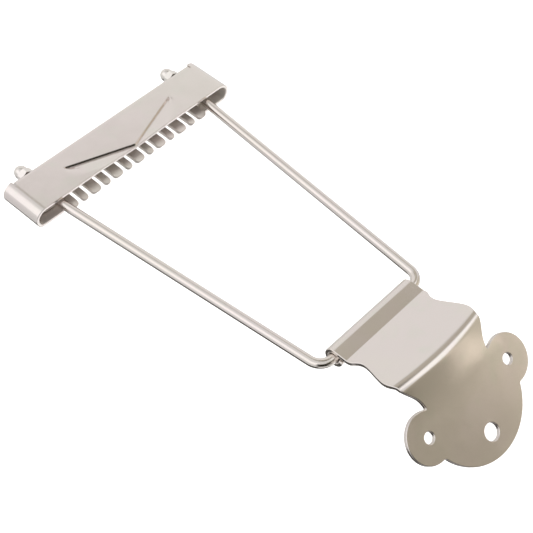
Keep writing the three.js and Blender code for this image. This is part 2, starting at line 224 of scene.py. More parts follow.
# %% [markdown]
# ## From blank to pressed sheet
#
# Both faces of the blank are filled with triangles by a Delaunay filling, which takes any points it is
# given, so the rows can be close where the sheet bends and wide where it is flat. For that it has to be
# known which points lie in the sheet, and which way is inward from its edges.

# %% Inside, outside and inward
def inside_loops(points, loops):
    """Whether each point lies inside the outline and outside the holes."""
    odd = np.zeros(len(points), bool)
    for loop in loops:
        for (x0, y0), (x1, y1) in zip(loop, np.roll(loop, -1, axis=0)):
            if y0 == y1:
                continue
            crosses = (y0 > points[:, 1]) != (y1 > points[:, 1])
            odd ^= crosses & (points[:, 0] < x0 + (points[:, 1] - y0) * (x1 - x0) / (y1 - y0))
    return odd


def far_from_loops(points, loops, distance, batch=500):
    edge = np.vstack(loops)
    near = np.zeros(len(points), bool)
    for start in range(0, len(points), batch):
        part = points[start:start + batch]
        gap = np.linalg.norm(part[:, None] - edge[None], axis=2).min(axis=1)
        near[start:start + batch] = gap < distance
    return ~near


def signed_area(loop):
    following = np.roll(loop, -1, axis=0)
    return 0.5 * np.sum(loop[:, 0] * following[:, 1] - following[:, 0] * loop[:, 1])


def inward(loop):
    """Unit steps into the sheet, for an outline that runs left round and holes that run right round."""
    along = np.roll(loop, -1, axis=0) - np.roll(loop, 1, axis=0)
    along /= np.linalg.norm(along, axis=1)[:, None]
    return np.column_stack([-along[:, 1], along[:, 0]])


print("the square's middle is inside:", inside_loops(np.array([[5.0, 5.0]]), [square])[0])
print("its area is", signed_area(square), "square mm")

# %% [markdown]
# The filling may also span a hole or a hollow in the outline, so only the triangles whose middle lies in
# the sheet are kept.

# %% Fill a blank with triangles
def fill_blank(loops, inner, clear=0.3):
    """All points of a face, the loops' first, and its triangles, which all run left round."""
    inner = inner[inside_loops(inner, loops)]
    inner = inner[far_from_loops(inner, loops, clear)]
    flat = np.vstack(loops + [inner])
    edges, start = [], 0
    for loop in loops:
        count = len(loop)
        edges += [(start + i, start + (i + 1) % count) for i in range(count)]
        start += count
    filled = delaunay_2d_cdt([Vector(p) for p in flat.tolist()], edges, [], 0, 1e-6)
    assert all(filled[3]), "an outline crosses itself: soften its corners by more than the rim"
    given = [ids[0] for ids in filled[3]]
    triangles = np.array([[given[i] for i in face] for face in filled[2]])
    a, b, c = (flat[triangles[:, i]] for i in range(3))
    area = (b - a)[:, 0] * (c - a)[:, 1] - (b - a)[:, 1] * (c - a)[:, 0]
    triangles[area < 0] = triangles[area < 0][:, ::-1]
    return flat, triangles[inside_loops((a + b + c) / 3, loops) & (np.abs(area) > 1e-9)]


square_faces = fill_blank([square], np.array([[5.0, 5.0]]))[1]
print("the square alone is filled with", len(square_faces), "triangles")

# %% [markdown]
# A few rings of points make the rounded rim that tumbling and plating leave. Every point then goes to its
# bent place. The shading normals are worked out from the bend itself and not from the triangles, so that
# a mirror finish shows no facets.

# %% The rim, the bent surface and the mesh
def rim_profile(sheet, rim, steps=3):
    """Over the edge from face to face: depth, height, and how far the normal points out and up."""
    turns = np.radians(np.linspace(90, 0, steps + 1))
    upper = [(rim * (1 - np.cos(t)), sheet / 2 - rim + rim * np.sin(t), np.cos(t), np.sin(t))
             for t in turns]
    return upper + [(depth, -height, out, -lift) for depth, height, out, lift in reversed(upper)]


def ring_quads(near, far):
    """Faces between two rings of points."""
    return np.column_stack([near, far, np.roll(far, -1), np.roll(near, -1)]).tolist()


def surface_frame(place, u, v, height, nudge=1e-3):
    """Unit steps along u and v, and the outward normal, at points of the bent sheet."""
    step_u = place(u + nudge, v, height) - place(u - nudge, v, height)
    step_v = place(u, v + nudge, height) - place(u, v - nudge, height)
    step_h = place(u, v, height + nudge) - place(u, v, height - nudge)
    step_u /= np.linalg.norm(step_u, axis=1)[:, None]
    step_v /= np.linalg.norm(step_v, axis=1)[:, None]
    normal = np.cross(step_u, step_v)
    normal /= np.linalg.norm(normal, axis=1)[:, None]
    side = np.sign(np.sum(normal * step_h))
    return step_u, step_v, normal * side, side


def new_piece(name, points_mm, faces, normals=None):
    """A smooth-shaded object from points in millimetres."""
    mesh = bpy.data.meshes.new(name)
    mesh.from_pydata((np.asarray(points_mm) / 1000).tolist(), [], faces)
    mesh.polygons.foreach_set("use_smooth", [True] * len(mesh.polygons))
    if normals is not None:
        mesh.normals_split_custom_set_from_vertices([tuple(n) for n in normals])
    piece = bpy.data.objects.new(name, mesh)
    bpy.context.scene.collection.objects.link(piece)
    return piece


print("a rim is made of", len(rim_profile(1.6, 0.32)), "rings")

# %% [markdown]
# With these tools a blank is pressed in one go: both faces, the rings over every edge, and then the bend.
# Two numbers stay on the points for the plating: how far a point belongs to the sheared edge, and how far
# it lies on the outer face.

# %% Press a blank
def pressed_sheet(name, loops, inner, place, sheet, rim):
    """A blank of an outline, its holes and inner points, bent by `place(u, v, height)`."""
    loops = [loop if (signed_area(loop) > 0) == (index == 0) else loop[::-1]
             for index, loop in enumerate(loops)]
    flat, triangles = fill_blank([loop + rim * inward(loop) for loop in loops], inner)
    count, half = len(flat), sheet / 2
    level, flush = np.zeros((count, 2)), np.zeros(count)
    layers = [(flat, np.full(count, half), level, np.ones(count), flush),
              (flat, np.full(count, -half), level, -np.ones(count), flush)]
    faces = triangles.tolist() + (triangles[:, ::-1] + count).tolist()
    total, first = 2 * count, 0
    for loop in loops:
        size, step_in = len(loop), inward(loop)
        rings = [first + np.arange(size)]
        for depth, height, out, lift in rim_profile(sheet, rim)[1:-1]:
            layers.append((loop + depth * step_in, np.full(size, height), -out * step_in,
                           np.full(size, lift), np.full(size, out)))
            rings.append(total + np.arange(size))
            total += size
        rings.append(count + first + np.arange(size))
        for upper, lower in zip(rings, rings[1:]):
            faces += ring_quads(upper, lower)
        first += size

    uv, height, out, lift, cut = (np.concatenate(column) for column in zip(*layers))
    points = place(uv[:, 0], uv[:, 1], height)
    step_u, step_v, normal, side = surface_frame(place, uv[:, 0], uv[:, 1], height)
    normals = out[:, :1] * step_u + out[:, 1:] * step_v + lift[:, None] * normal
    normals /= np.linalg.norm(normals, axis=1)[:, None]
    if side < 0:
        faces = [face[::-1] for face in faces]
    piece = new_piece(name, points, faces, normals)
    for carried, values in (("cut_edge", cut), ("outer_face", height / half)):
        piece.data.attributes.new(carried, "FLOAT", "POINT").data.foreach_set("value", values)
    print(name, "has", len(points), "points and", len(faces), "faces")
    return piece

# %% [markdown]
# ## The tail bracket
#
# One sheet of 1.6 mm. Its front edge is rolled round the wire as a long knuckle. Behind it comes a short
# sloping land, a flat plate with a waist, and a bend over the guitar's edge, whose middle the press
# pushes out. The tail plate ends in two ears and a round lobe. The bracket is drawn with its plate level
# and the wire's axis at zero, and is then tilted as it sits on the guitar.

# %% Sizes of the bracket, in millimetres
wire_radius, wire_play = 1.75, 0.3
bracket_sheet = 1.6
bracket_tilt = 17.6
roll_radius = wire_radius + wire_play + bracket_sheet / 2
roll_outside = roll_radius + bracket_sheet / 2
roll_wrap = 279.7
land_slope = 19.7
plate_level = 1.76
plate_length = 21.3
crease_radius = 0.8
bend_radius = 5.0
bend_turn = 56.8
tail_allowance = 60
bow_depth, bow_reach, bow_drop, bow_width = 2.0, 10, 12, 46
land_drop = roll_outside * np.cos(radians(land_slope)) - plate_level
land_length = land_drop / np.sin(radians(land_slope))
land_end = -roll_outside * np.sin(radians(land_slope)) - land_drop / np.tan(radians(land_slope))
bend_corner = land_end - plate_length
print("from the wire's axis the land reaches", land_end.round(2), "mm and the bend", bend_corner.round(2))

# %% [markdown]
# The walk starts at the roll's free edge, inside the knuckle, and runs down the tail plate past the lobe.
# At every corner the straight runs stop short by the setback of the arc between them.

# %% Walk the bracket's bends
def setback(radius, turn):
    """How far before a corner its arc begins."""
    return radius * np.tan(radians(turn) / 2)


crease_setback = setback(crease_radius, land_slope)
bend_setback = setback(bend_radius, bend_turn)
roll_start = 90 + land_slope - roll_wrap
bracket_path = BentPath(roll_radius * np.cos(radians(roll_start)),
                        roll_radius * np.sin(radians(roll_start)), roll_start + 90)
bracket_path.arc(roll_wrap, roll_radius)
roll_end = bracket_path.length
bracket_path.straight(land_length - crease_setback)
crease_start = bracket_path.length
bracket_path.arc(-land_slope, crease_radius + bracket_sheet / 2)
crease_end = bracket_path.length
bracket_path.straight(plate_length - crease_setback - bend_setback)
bend_start = bracket_path.length
bracket_path.arc(bend_turn, bend_radius - bracket_sheet / 2)
bend_end = bracket_path.length
bracket_path.straight(tail_allowance)
print("roll ends at", round(roll_end, 2), "mm, the bend runs from", round(bend_start, 2),
      "to", round(bend_end, 2), "mm of the walk")

# %% [markdown]
# The bow in the middle of the bend is a push along the guitar that fades away over the plate, over the
# tail plate and toward both edges. Last, the whole bracket is tilted about the wire's axis.

# %% Bend, bow and tilt the bracket
def smooth_share(share):
    share = np.clip(share, 0, 1)
    return share * share * (3 - 2 * share)


def tilt_bracket(x, y, z):
    lean = radians(bracket_tilt)
    return np.column_stack([x, y * np.cos(lean) + z * np.sin(lean) + hinge_mm[1],
                            z * np.cos(lean) - y * np.sin(lean) + hinge_mm[2]])


def place_bracket(x, walked, height):
    y, z = bracket_path.point(walked, height)
    width_share = np.maximum(0, 1 - (2 * x / bow_width) ** 2)
    plate_share = smooth_share((bend_corner + bow_reach - y) / bow_reach)
    tail_share = smooth_share((z - plate_level + bow_drop + bracket_sheet) / bow_drop)
    return tilt_bracket(x, y - bow_depth * width_share * plate_share * tail_share, z)


knuckle_middle = place_bracket(np.zeros(1), np.array([roll_end / 2]), np.zeros(1))[0]
print("the middle of the roll lies at", knuckle_middle.round(2), "mm")

# %% [markdown]
# The blank's outline is drawn in the walk's own measure: x across, and the length walked from the rolled
# edge. The plate's sides swing in to a waist and out to a hip. Down the tail plate come two ears and a
# lobe, joined to the bend by a neck that curves in.

# %% Outline of the bracket's blank
knuckle_half, shoulder = 20.2, 1.6
waist_half, waist_share = 18.5, 0.3
hip_half, hip_share = 21.5, 0.78
bend_half, neck_half = 20.5, 16.1
neck_leaves_share, neck_arrives_share = 0.36, 0.46
ear_x, ear_drop, ear_radius = 20.85, 19.5, 8.9
lobe_drop, lobe_radius = 20.0, 21.8
screw_hole_radius = 1.95
pin_hole_drop, pin_hole_radius = 33.4, 3.0
crease_middle = (crease_start + crease_end) / 2
bend_middle = (bend_start + bend_end) / 2


def plate_walk(share):
    """Length walked to a share of the plate, from the crease to the bend."""
    return crease_middle + share * (bend_middle - crease_middle)


def tail_walk(drop):
    """Length walked to a point that lies `drop` below the bend's corner, down the tail plate."""
    return np.where(drop > bend_setback, bend_end + drop - bend_setback,
                    bend_middle + (bend_end - bend_middle) * drop / bend_setback)


def circles_meet(centre_a, radius_a, centre_b, radius_b):
    """Where two circles meet, to the right of the way from a to b."""
    between = centre_b - centre_a
    distance = np.linalg.norm(between)
    along = (distance ** 2 + radius_a ** 2 - radius_b ** 2) / (2 * distance)
    aside = np.sqrt(radius_a ** 2 - along ** 2)
    return (centre_a + along * between / distance
            + aside * np.array([between[1], -between[0]]) / distance)


def angle_from(centre, point):
    return np.degrees(np.arctan2(point[1] - centre[1], point[0] - centre[0]))


ear, lobe = np.array([ear_x, ear_drop]), np.array([0, lobe_drop])
notch_drop = ear_drop - np.sqrt(ear_radius ** 2 - (ear_x - neck_half) ** 2)
crossing = circles_meet(ear, ear_radius, lobe, lobe_radius)
side_curve = through_points([(knuckle_half, shoulder / plate_length), (waist_half, waist_share),
                             (hip_half, hip_share), (bend_half, 1)])
neck_curve = bezier_points((bend_half, 0), (bend_half, neck_leaves_share * notch_drop),
                           (neck_half, neck_arrives_share * notch_drop), (neck_half, notch_drop))
ear_arc = arc_points(ear, ear_radius, angle_from(ear, (neck_half, notch_drop)),
                     angle_from(ear, crossing), 40)
lobe_arc = arc_points(lobe, lobe_radius, angle_from(lobe, crossing), 90, 40)
tail_edge = np.vstack([neck_curve[1:], ear_arc[1:], lobe_arc[1:]])
right_side = np.vstack([[(knuckle_half, 0.0)],
                        np.column_stack([side_curve[:, 0], plate_walk(side_curve[:, 1])]),
                        np.column_stack([tail_edge[:, 0], tail_walk(tail_edge[:, 1])])])
bracket_outline = np.vstack([right_side, right_side[:-1][::-1] * [-1, 1]])
bracket_outline = walk_loop(soften_corners(bracket_outline, reach=0.7), step=0.4)
bracket_holes = [round_hole((x, tail_walk(drop)), radius)
                 for x, drop, radius in ((-ear_x, ear_drop, screw_hole_radius),
                                         (ear_x, ear_drop, screw_hole_radius),
                                         (0, pin_hole_drop, pin_hole_radius))]
print("the blank is", np.ptp(bracket_outline, axis=0).round(1), "mm")

# %% [markdown]
# Rows of points are close where the sheet bends and wide where it is flat.

# %% Press the bracket
def rows(*spans):
    """Walk positions from (start, end, step) spans."""
    return np.concatenate([np.arange(start, end, step) for start, end, step in spans])


def grid(across, along_rows):
    return np.array([(x, s) for s in along_rows for x in across])


rows_before_bend, rows_after_bend = 10.5, 13
bracket_rows = rows(
    (0.4, roll_end, 0.3), (roll_end, crease_start, 0.8), (crease_start, crease_end, 0.11),
    (crease_end, bend_start - rows_before_bend, 1.4), (bend_start - rows_before_bend, bend_start, 0.55),
    (bend_start, bend_end, 0.13), (bend_end, bend_end + rows_after_bend, 0.6),
    (bend_end + rows_after_bend, bracket_path.length, 1.6))
bracket_piece = pressed_sheet("bracket", [bracket_outline] + bracket_holes,
                              grid(np.arange(-29.5, 29.6, 1.3), bracket_rows),
                              place_bracket, bracket_sheet, rim=0.32)

# %% [markdown]
# ## The wire
#
# One wire of 3.5 mm is hinge pin and rods at once. It lies in a plane, so its centre line is a walk
# seen from above: a rod, a bend, the straight middle inside the knuckle, and the same again mirrored.
# The ends are threaded for the nuts. The thread is cut into the wire, so the crests keep its diameter,
# and it is made here as a groove that winds along the end of the sweep.

# %% Centre line of the wire
rod_half_hinge, rod_half_bar = 25.75, 36.9
bar_rear, bar_depth = 113.5, 18.4
bar_front = bar_rear + bar_depth
rod_straightens = bar_rear + 3
rod_end = bar_front + 4.2
wire_bend = 5.5
thread_start, thread_pitch, thread_depth = 121.0, 0.79, 0.32
rod_slope = np.arctan2(rod_half_bar - rod_half_hinge, rod_straightens)
corner_turn = np.pi / 2 - rod_slope
wire_turns_at = rod_half_hinge - wire_bend * np.tan(corner_turn / 2)


def half_wire():
    """Centre line from the middle of the hinge to the end of the right rod."""
    turned = corner_turn * np.linspace(0, 1, 25)
    middle_x = np.linspace(0, wire_turns_at, 12)[:-1]
    bend_x = wire_turns_at + wire_bend * np.sin(turned)
    bend_y = wire_bend * (1 - np.cos(turned))
    slope = np.linspace(0, 1, 40)[1:]
    rod_x = bend_x[-1] + (rod_half_bar - bend_x[-1]) * slope
    rod_y = bend_y[-1] + (rod_straightens - bend_y[-1]) * slope
    tail_y = np.concatenate([np.linspace(rod_straightens, thread_start, 5)[1:],
                             np.arange(thread_start + 0.1, rod_end, 0.1), [rod_end]])
    tail_x = np.full(len(tail_y), rod_half_bar)
    return np.column_stack([np.concatenate([middle_x, bend_x, rod_x, tail_x]),
                            np.concatenate([np.zeros_like(middle_x), bend_y, rod_y, tail_y])])


wire_steps = np.linalg.norm(np.diff(half_wire(), axis=0), axis=1)
print("the whole wire is", round(2 * wire_steps.sum()), "mm long")

# %% [markdown]
# The wire's surface is a ring of points swept along the centre line. On the threaded ends each point
# sinks by the groove's depth at its place round the rod, so the groove winds forward turn by turn.

# %% Sweep the wire and cut its threads
groove_middle, groove_slope = 1.25, 2.6
end_chamfer, end_chamfer_depth = 0.45, 0.4


def thread_cut(length_along, angle):
    """How deep the groove is at a place along the rod and round it."""
    turn = (length_along / thread_pitch + angle / (2 * np.pi)) % 1
    groove = np.clip(groove_middle - groove_slope * np.abs(turn - 0.5), 0, 1)
    run_in = np.clip((length_along - thread_start) / thread_pitch, 0, 1)
    chamfer = np.clip((length_along - rod_end + end_chamfer) / end_chamfer, 0, 1)
    return np.maximum(thread_depth * groove * run_in, end_chamfer_depth * chamfer)


def sweep_wire(name, size=40):
    right = half_wire()
    centre = np.vstack([right[:0:-1] * [-1, 1], right])
    along_path = np.gradient(centre, axis=0)
    along_path /= np.linalg.norm(along_path, axis=1)[:, None]
    side = np.column_stack([along_path[:, 1], -along_path[:, 0]])
    angle = np.linspace(0, 2 * np.pi, size, endpoint=False)
    radius = wire_radius - thread_cut(centre[:, 1][:, None], angle[None])
    across, lift = radius * np.cos(angle), radius * np.sin(angle)
    points = np.stack([centre[:, :1] + across * side[:, :1],
                       centre[:, 1:] + across * side[:, 1:], lift], 2)
    count = len(points)
    faces = []
    for i in range(count - 1):
        ring = i * size + np.arange(size)
        faces += ring_quads(ring, ring + size)
    faces += [list(range(size)), list(range((count - 1) * size, count * size))[::-1]]
    return new_piece(name, points.reshape(-1, 3) + hinge_mm, faces)


wire_piece = sweep_wire("wire")
wire_piece.data.set_sharp_from_angle(angle=radians(50))
print("the wire has", len(wire_piece.data.vertices), "points")

# %% [markdown]
# ## The bar's cover
#
# The cover is a flat top whose two ends are folded round in half circles to short lips underneath. Its
# front edge is turned down over a rounded corner and has a hole for each rod.

# %% Sizes of the cover
cover_sheet, comb_sheet = 1.2, 1.8
play, rod_room, bar_overhang = 0.3, 0.67, 11.6
skirt_inset, skirt_below_holes, lip_inset = 0.5, 1.3, 1.1
rod_hole_radius = wire_radius + play
cover_top = wire_radius + rod_room + cover_sheet
lip_top = -wire_radius - play - comb_sheet - play
cover_inner = (cover_top - cover_sheet - lip_top) / 2
cover_radius = cover_inner + cover_sheet / 2
cover_centre = (cover_top - cover_sheet + lip_top) / 2
cover_flat = rod_half_bar + bar_overhang - cover_inner - cover_sheet
front_outside = 2
front_radius = front_outside - cover_sheet / 2
front_bend_at = bar_depth - front_outside
skirt_half = cover_flat - skirt_inset
skirt_bottom = -rod_hole_radius - skirt_below_holes
lip_half = rod_half_bar - lip_inset
edge_u = cover_flat + np.pi * cover_radius
lip_u = edge_u + cover_flat - lip_half
print("the ends are folded at", round(cover_radius, 3), "mm radius, and a lip ends at", round(lip_u, 2))

# %% [markdown]
# A chevron is pressed into the top: a steep wall along each of its two arms, with a gentle slope on the
# tail side. From the camera, one wall mirrors the dark behind the tail and the other the warm wall.

# %% How deep the chevron is
chevron_depth, chevron_tip_x, chevron_tip_y = 0.8, 26.6, bar_rear + 9.95
chevron_vertex_y = bar_rear + 0.35
chevron_slant = np.arctan2(chevron_tip_y - chevron_vertex_y, chevron_tip_x)
wall_run, slope_run, end_run = 0.58, 5.8, 0.8
slope_hollow, end_spread = 1.1, 3


def even_ramp(share, rounding=0.18):
    """From 0 to 1 in an even slope whose two ends are rounded."""
    share = np.clip(share, 0, 1)
    foot = np.minimum(share, rounding) ** 2 / (2 * rounding)
    middle = np.clip(share - rounding, 0, 1 - 2 * rounding)
    top = np.maximum(share - 1 + rounding, 0)
    return (foot + middle + top - top ** 2 / (2 * rounding)) / (1 - rounding)


def from_arm(x, y):
    """Distances from an arm's line, forward, and past its tip."""
    forward = y - chevron_vertex_y
    aside = forward * np.cos(chevron_slant) - np.abs(x) * np.sin(chevron_slant)
    past = (forward * np.sin(chevron_slant) + np.abs(x) * np.cos(chevron_slant)
            - chevron_tip_x / np.cos(chevron_slant))
    return aside, past


def chevron_sink(x, y):
    aside, past = from_arm(x, y)
    wall = 1 - even_ramp(aside / wall_run)
    slope = np.clip(1 + aside / slope_run, 0, 1) ** slope_hollow
    end = smooth_share(-past / (end_run + end_spread * np.maximum(0, -aside)))
    return chevron_depth * np.where(aside > 0, wall, slope) * end


arm_x = np.array([5.0, 15.0, 24.0])
arm_sink = chevron_sink(arm_x, chevron_vertex_y + arm_x * np.tan(chevron_slant))
print("along an arm the chevron is", arm_sink.round(2), "mm deep")

# %% [markdown]
# On the cover's blank, u runs across the bar and round its ends, and v runs forward and down the skirt.
# The upper quarter of each end is eased: it starts half a millimetre further in, as a part of an oval.

# %% Bend the cover
ease, fold_margin = 0.5, 0.15


def place_cover(u, v, height):
    side, reach = np.sign(u), np.abs(u)
    angle = np.clip((reach - cover_flat + ease) / (cover_radius + ease / np.pi), 0, np.pi)
    eased = np.where(angle < np.pi / 2, ease, 0)
    lip = np.maximum(reach - cover_flat - np.pi * cover_radius, 0)
    wide = cover_radius + eased
    length = np.hypot(wide * np.sin(angle), cover_radius * np.cos(angle))
    out = np.minimum(reach, cover_flat - eased) - lip + (wide ** 2 / length + height) * np.sin(angle)
    z = cover_centre + (cover_radius ** 2 / length + height) * np.cos(angle)
    turned = np.clip((v - front_bend_at) / front_radius, 0, np.pi / 2)
    down = np.maximum(v - front_bend_at - front_radius * np.pi / 2, 0)
    folds = reach <= skirt_half + fold_margin
    forward = np.minimum(v, front_bend_at) + (front_radius + height) * np.sin(turned)
    y = bar_rear + np.where(folds, forward, v)
    drop = np.where(folds, (front_radius + height) * (1 - np.cos(turned)) + down, 0)
    sink = chevron_sink(side * out, y) * (reach < cover_flat) * (down <= 0)
    return np.column_stack([side * out, y + hinge_mm[1], z - drop - sink + hinge_mm[2]])


top_middle = place_cover(np.zeros(1), np.array([10.0]), np.array([cover_sheet / 2]))[0]
print("the top's middle lies at", top_middle.round(2), "mm")

# %% [markdown]
# A sheet can't fold in two directions at one place, so a small relief is cut between the skirt and each
# rolled end.

# %% Outline of the cover's blank
lip_setback, corner_run = 0.4, 1.2
relief_radius, relief_run = 0.25, 2.2
relief_v = bar_depth - relief_run


def skirt_walk(z):
    """The v of a height on the skirt."""
    return front_bend_at + front_radius * np.pi / 2 + (cover_top - front_outside) - z


relief = arc_points((skirt_half + relief_radius, relief_v), relief_radius, 0, -180, 10)
half_outline = np.vstack([
    [(0, 0), (edge_u - 2 * corner_run, 0), (edge_u - corner_run, lip_setback), (lip_u, lip_setback),
     (lip_u, bar_depth), (skirt_half + 2 * relief_radius, bar_depth)],
    relief,
    [(skirt_half, skirt_walk(skirt_bottom)), (0, skirt_walk(skirt_bottom))]])
cover_outline = np.vstack([half_outline, half_outline[-2:0:-1] * [-1, 1]])
cover_outline = walk_loop(soften_corners(cover_outline, reach=0.45), step=0.4)
rod_holes = [round_hole((x, skirt_walk(0)), rod_hole_radius) for x in (-rod_half_bar, rod_half_bar)]
print("the cover's blank is", np.ptp(cover_outline, axis=0).round(1), "mm")

# %% [markdown]
# Along the chevron's arms the points lie in rows beside the step, so that it stays crisp.

# %% Press the cover
rows_behind_arm = (-5.9, -4.9, -3.9, -2.8, -1.8, -1.0, -0.45, -0.1)
rows_on_wall = (0, 0.1, 0.22, 0.34, 0.46, 0.58, 0.7, 1.1)


def chevron_rows():
    out = []
    for along in np.arange(0, chevron_tip_x / np.cos(chevron_slant) + 1.2, 0.4):
        for aside in rows_behind_arm + rows_on_wall:
            x = along * np.cos(chevron_slant) - aside * np.sin(chevron_slant)
            y = chevron_vertex_y + along * np.sin(chevron_slant) + aside * np.cos(chevron_slant)
            if x > 0.1:
                out += [(x, y - bar_rear), (-x, y - bar_rear)]
    return np.array(out)


round_end = rows((skirt_half - 1, edge_u + 0.5, 0.45), (edge_u + 1, lip_u, 1.5))
cover_across = np.concatenate([-round_end[::-1], np.arange(-skirt_half + 1.5, skirt_half - 1.2, 1.2),
                               round_end])
cover_along = rows((0.5, bar_depth - 2.2, 0.95), (bar_depth - 2.1, bar_depth + 0.4, 0.2),
                   (bar_depth + 0.5, 24, 1.0))
cover_grid = grid(cover_across, cover_along)
beside = chevron_rows()
spare = np.array([np.abs(beside - p).max(axis=1).min() > 0.4 for p in cover_grid])
cover_piece = pressed_sheet("cover", [cover_outline] + rod_holes,
                            np.vstack([beside, cover_grid[spare]]), place_cover, cover_sheet, rim=0.22)

# %% [markdown]
# ## The string comb
#
# Under the cover lies a second plate of 1.8 mm. Seven wide and six narrow teeth look out on the tail
# side and curl down a little, so that the strings run off them without a kink. The strings hang in the
# slots beside the narrow teeth. Its front flange stands up behind the cover's skirt, notched for the
# rods.

# %% Bend the comb
comb_top = -wire_radius - play
comb_corner = 2.4
comb_front = bar_front - cover_sheet - play
flange_top = cover_top - front_outside - play
tooth_overhang = 2.3
tooth_tips = bar_rear - tooth_overhang
curl_run, curl_turn, curl_outside, tip_allowance = 2.7, 31, 5, 4
comb_path = BentPath(comb_front - comb_sheet / 2, flange_top, -90)
comb_path.straight(flange_top - comb_top + comb_sheet - comb_corner)
flange_end = comb_path.length
comb_path.arc(-90, comb_corner - comb_sheet / 2)
plate_from = comb_path.length
comb_path.straight(comb_front - comb_corner - tooth_tips - curl_run)
curl_from = comb_path.length
comb_path.arc(curl_turn, curl_outside - comb_sheet / 2)
comb_path.straight(tip_allowance)


def place_comb(x, walked, height):
    y, z = comb_path.point(walked, height)
    return np.column_stack([x, y + hinge_mm[1], z + hinge_mm[2]])


def comb_walk(y):
    """Length walked to a y on the flat plate."""
    return plate_from + comb_front - comb_corner - y


print("the comb's plate runs from", round(plate_from, 2), "to", round(curl_from, 2), "mm of the walk")

# %% [markdown]
# The comb's outline starts at the plate's rear edge on the left, goes round the teeth to the right, and
# comes back along the flange's top with its two notches.

# %% Teeth, slots and notches
course_pitch, narrow_half, slot_width, slot_depth, course_count = 10.88, 1.4, 1.9, 7.6, 6
tooth_corner, outer_tooth, tip_trim = 1.4, 4, 0.16
comb_inset, shoulder_setback, notch_middle = 2, 4, 2.25
tips_walk, root_walk = comb_walk(tooth_tips) - tip_trim, comb_walk(tooth_tips + slot_depth)
step_back = comb_walk(bar_rear + shoulder_setback)
comb_half = cover_flat - comb_inset
rear_half = (course_count - 1) / 2 * course_pitch + narrow_half + slot_width + outer_tooth


def tooth(left, right):
    """The end of one tooth, from its left corner to its right one."""
    radius = min(tooth_corner, (right - left) / 2)
    return np.vstack([arc_points((left + radius, tips_walk - radius), radius, 180, 90, 10),
                      arc_points((right - radius, tips_walk - radius), radius, 90, 0, 10)])


def slot_root(left):
    radius = slot_width / 2
    return arc_points((left + radius, root_walk + radius), radius, 180, 360, 12)


def rod_notch(x):
    return np.vstack([[(x + rod_hole_radius, 0)],
                      arc_points((x, notch_middle), rod_hole_radius, 0, 180, 16),
                      [(x - rod_hole_radius, 0)]])


teeth, left = [], -rear_half
for centre in (np.arange(course_count) - (course_count - 1) / 2) * course_pitch:
    left_slot, right_slot = centre - narrow_half - slot_width, centre + narrow_half
    teeth += [tooth(left, left_slot), slot_root(left_slot),
              tooth(centre - narrow_half, right_slot), slot_root(right_slot)]
    left = right_slot + slot_width
teeth.append(tooth(left, rear_half))
print("the comb has", len(teeth) // 2 + 1, "teeth")

# %% [markdown]
# The rows of points are closest round the flange's corner and along the curl of the teeth.

# %% Press the comb
comb_outline = np.vstack([[(-comb_half, step_back), (-rear_half, step_back)], *teeth,
                          [(rear_half, step_back), (comb_half, step_back), (comb_half, 0)],
                          rod_notch(rod_half_bar), rod_notch(-rod_half_bar), [(-comb_half, 0)]])
comb_outline = walk_loop(soften_corners(comb_outline, reach=0.5), step=0.35)
comb_rows = rows((0.5, flange_end, 1.0), (flange_end, plate_from, 0.3),
                 (plate_from + 0.2, curl_from, 1.2), (curl_from, comb_path.length, 0.3))
comb_piece = pressed_sheet("comb", [comb_outline], grid(np.arange(-41.5, 41.6, 0.9), comb_rows),
                           place_comb, comb_sheet, rim=0.28)

# %% [markdown]
# ## The domed nuts
#
# A domed nut is turned from hexagon bar: the six flats stay at its foot, the corners are chamfered, and
# the rest becomes a dome. Here the radius is worked out for every angle and length, as if the piece were
# on a lathe that knows about the flats, and the blind hole is bored from the foot.

# %% Turn the nuts
across_flats, hex_length, nut_length, dome_radius = 5.5, 2.6, 6.4, 2.6
nut_gap = 0.08
hex_chamfer, hex_chamfer_slope, neck_cut, neck_run = 0.12, 1.5, 0.18, 0.5
hole_radius, hole_mouth, mouth_depth, hole_depth, drill_depth = 1.8, 2.1, 0.3, 4.4, 4.9
nut_sides = 96
nearly_closed = 0.02


def nut_radius(length_along, angle):
    flat = across_flats / 2 / np.cos(angle % (np.pi / 3) - np.pi / 6)
    from_end = np.minimum(length_along, hex_length - length_along)
    chamfer = across_flats / 2 + hex_chamfer + from_end * hex_chamfer_slope
    hexagon = np.where(length_along <= hex_length, np.minimum(flat, chamfer), 0)
    beyond = np.maximum(length_along - (nut_length - dome_radius), 0)
    dome = np.sqrt(np.maximum(dome_radius ** 2 - beyond ** 2, 0))
    neck = dome - neck_cut * np.clip(1 - (length_along - hex_length) / neck_run, 0, 1)
    return np.maximum(hexagon, neck)


def turn_nut(name, x):
    angle = np.linspace(0, 2 * np.pi, nut_sides, endpoint=False)
    outside = [0, 0.12, 0.25, 0.45, 0.9, 1.7, 2.15, 2.35, 2.48, 2.6, 2.601, 2.8, 3.0, 3.4, 3.8]
    outside += list(nut_length - dome_radius * (1 - np.sin(np.radians(np.arange(5, 90, 5)))))
    hole = ((drill_depth, nearly_closed), (hole_depth, hole_radius), (mouth_depth, hole_radius),
            (0, hole_mouth))
    rings = [(y, np.full(nut_sides, r)) for y, r in hole]
    rings += [(y, nut_radius(np.full(nut_sides, y), angle)) for y in outside]
    rings.append((nut_length, np.full(nut_sides, nearly_closed)))
    points = np.vstack([np.column_stack([x + r * np.sin(angle),
                                         np.full(nut_sides, bar_front + nut_gap + y),
                                         r * np.cos(angle)]) for y, r in rings])
    ring, last = np.arange(nut_sides), (len(rings) - 1) * nut_sides
    faces = []
    for start in range(0, last, nut_sides):
        faces += ring_quads(start + ring, start + ring + nut_sides)
    faces += [ring.tolist(), (last + ring).tolist()[::-1]]
    piece = new_piece(name, points + hinge_mm, faces)
    piece.data.set_sharp_from_angle(angle=radians(28))
    return piece


